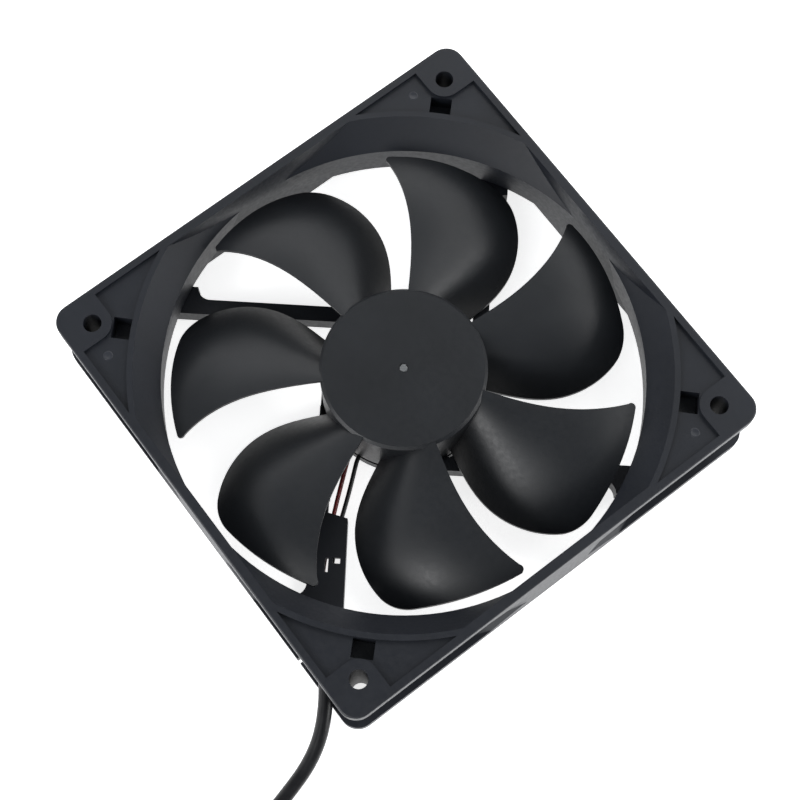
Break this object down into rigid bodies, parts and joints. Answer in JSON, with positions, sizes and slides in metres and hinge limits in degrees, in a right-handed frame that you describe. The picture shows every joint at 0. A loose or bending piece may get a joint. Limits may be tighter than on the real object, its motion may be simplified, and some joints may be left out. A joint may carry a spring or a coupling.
{
  "type": "case fan",
  "caption": "Square axial case fan on its back: black frame with struts and screw holes, bladed impeller on a small motor, and a sleeved lead to a small plug.",
  "frame": {"origin": "centre of the frame's back face, on the spin axis", "axes": "+Z along the spin axis from the back (exhaust) face to the open front (intake) face, X and Y along the frame's sides, and the lead leaves on the -Y side"},
  "size_m": [0.1687, 0.183, 0.025],
  "materials": {
    "frame_plastic": "black moulded plastic with a fine satin grain",
    "impeller_plastic": "black moulded plastic, satin",
    "brass_tube": "turned",
    "bearing_bronze": "sintered, oiled",
    "nylon": "natural nylon",
    "core_steel": "stacked laminations",
    "insulator_plastic": "natural moulded",
    "copper_wire": "enamelled copper",
    "contact_brass": "tinned",
    "board_laminate": "solder mask",
    "chip_plastic": "moulded",
    "capacitor_can": "drawn",
    "chip_ceramic": "glazed ceramic",
    "label_film": "plain film label",
    "black_insulation": "wire insulation",
    "red_insulation": "wire insulation",
    "cable_sleeve": "smooth extruded sleeve",
    "tie_nylon": "nylon",
    "plug_plastic": "natural nylon",
    "yoke_steel": "zinc plated",
    "magnet_ferrite": "bonded ferrite",
    "shaft_steel": "ground"
  },
  "bodies": {
    "frame_body": {"housing": "frame_plastic", "bearing_tube": "brass_tube", "sleeve_bearing": "bearing_bronze", "thrust_pad": "nylon", "oil_seal": "nylon", "stator_core": "core_steel", "insulator_upper": "insulator_plastic", "insulator_lower": "insulator_plastic", "windings": "copper_wire", "winding_pins": "contact_brass", "circuit_board": "board_laminate", "hall_sensor": "chip_plastic", "driver_chip": "chip_plastic", "capacitor": "capacitor_can", "resistors": "chip_ceramic", "label": "label_film", "black_wire": "black_insulation", "red_wire": "red_insulation", "cable": "cable_sleeve", "cable_coil": "cable_sleeve", "cable_tie": "tie_nylon", "cable_tail": "cable_sleeve", "black_lead": "black_insulation", "red_lead": "red_insulation", "plug_housing": "plug_plastic", "plug_contacts": "contact_brass"},
    "rotor": {"impeller": "impeller_plastic", "rotor_yoke": "yoke_steel", "magnet_ring": "magnet_ferrite", "shaft_bush": "brass_tube", "shaft": "shaft_steel", "retaining_clip": "nylon", "oil_slinger": "nylon"}
  },
  "joints": [
    {"name": "rotor_spin", "type": "hinge", "parent": "frame_body", "child": "rotor", "pos_m": [0, 0, 0.0125], "axis": [0, 0, 1], "continuous": true}
  ]
}
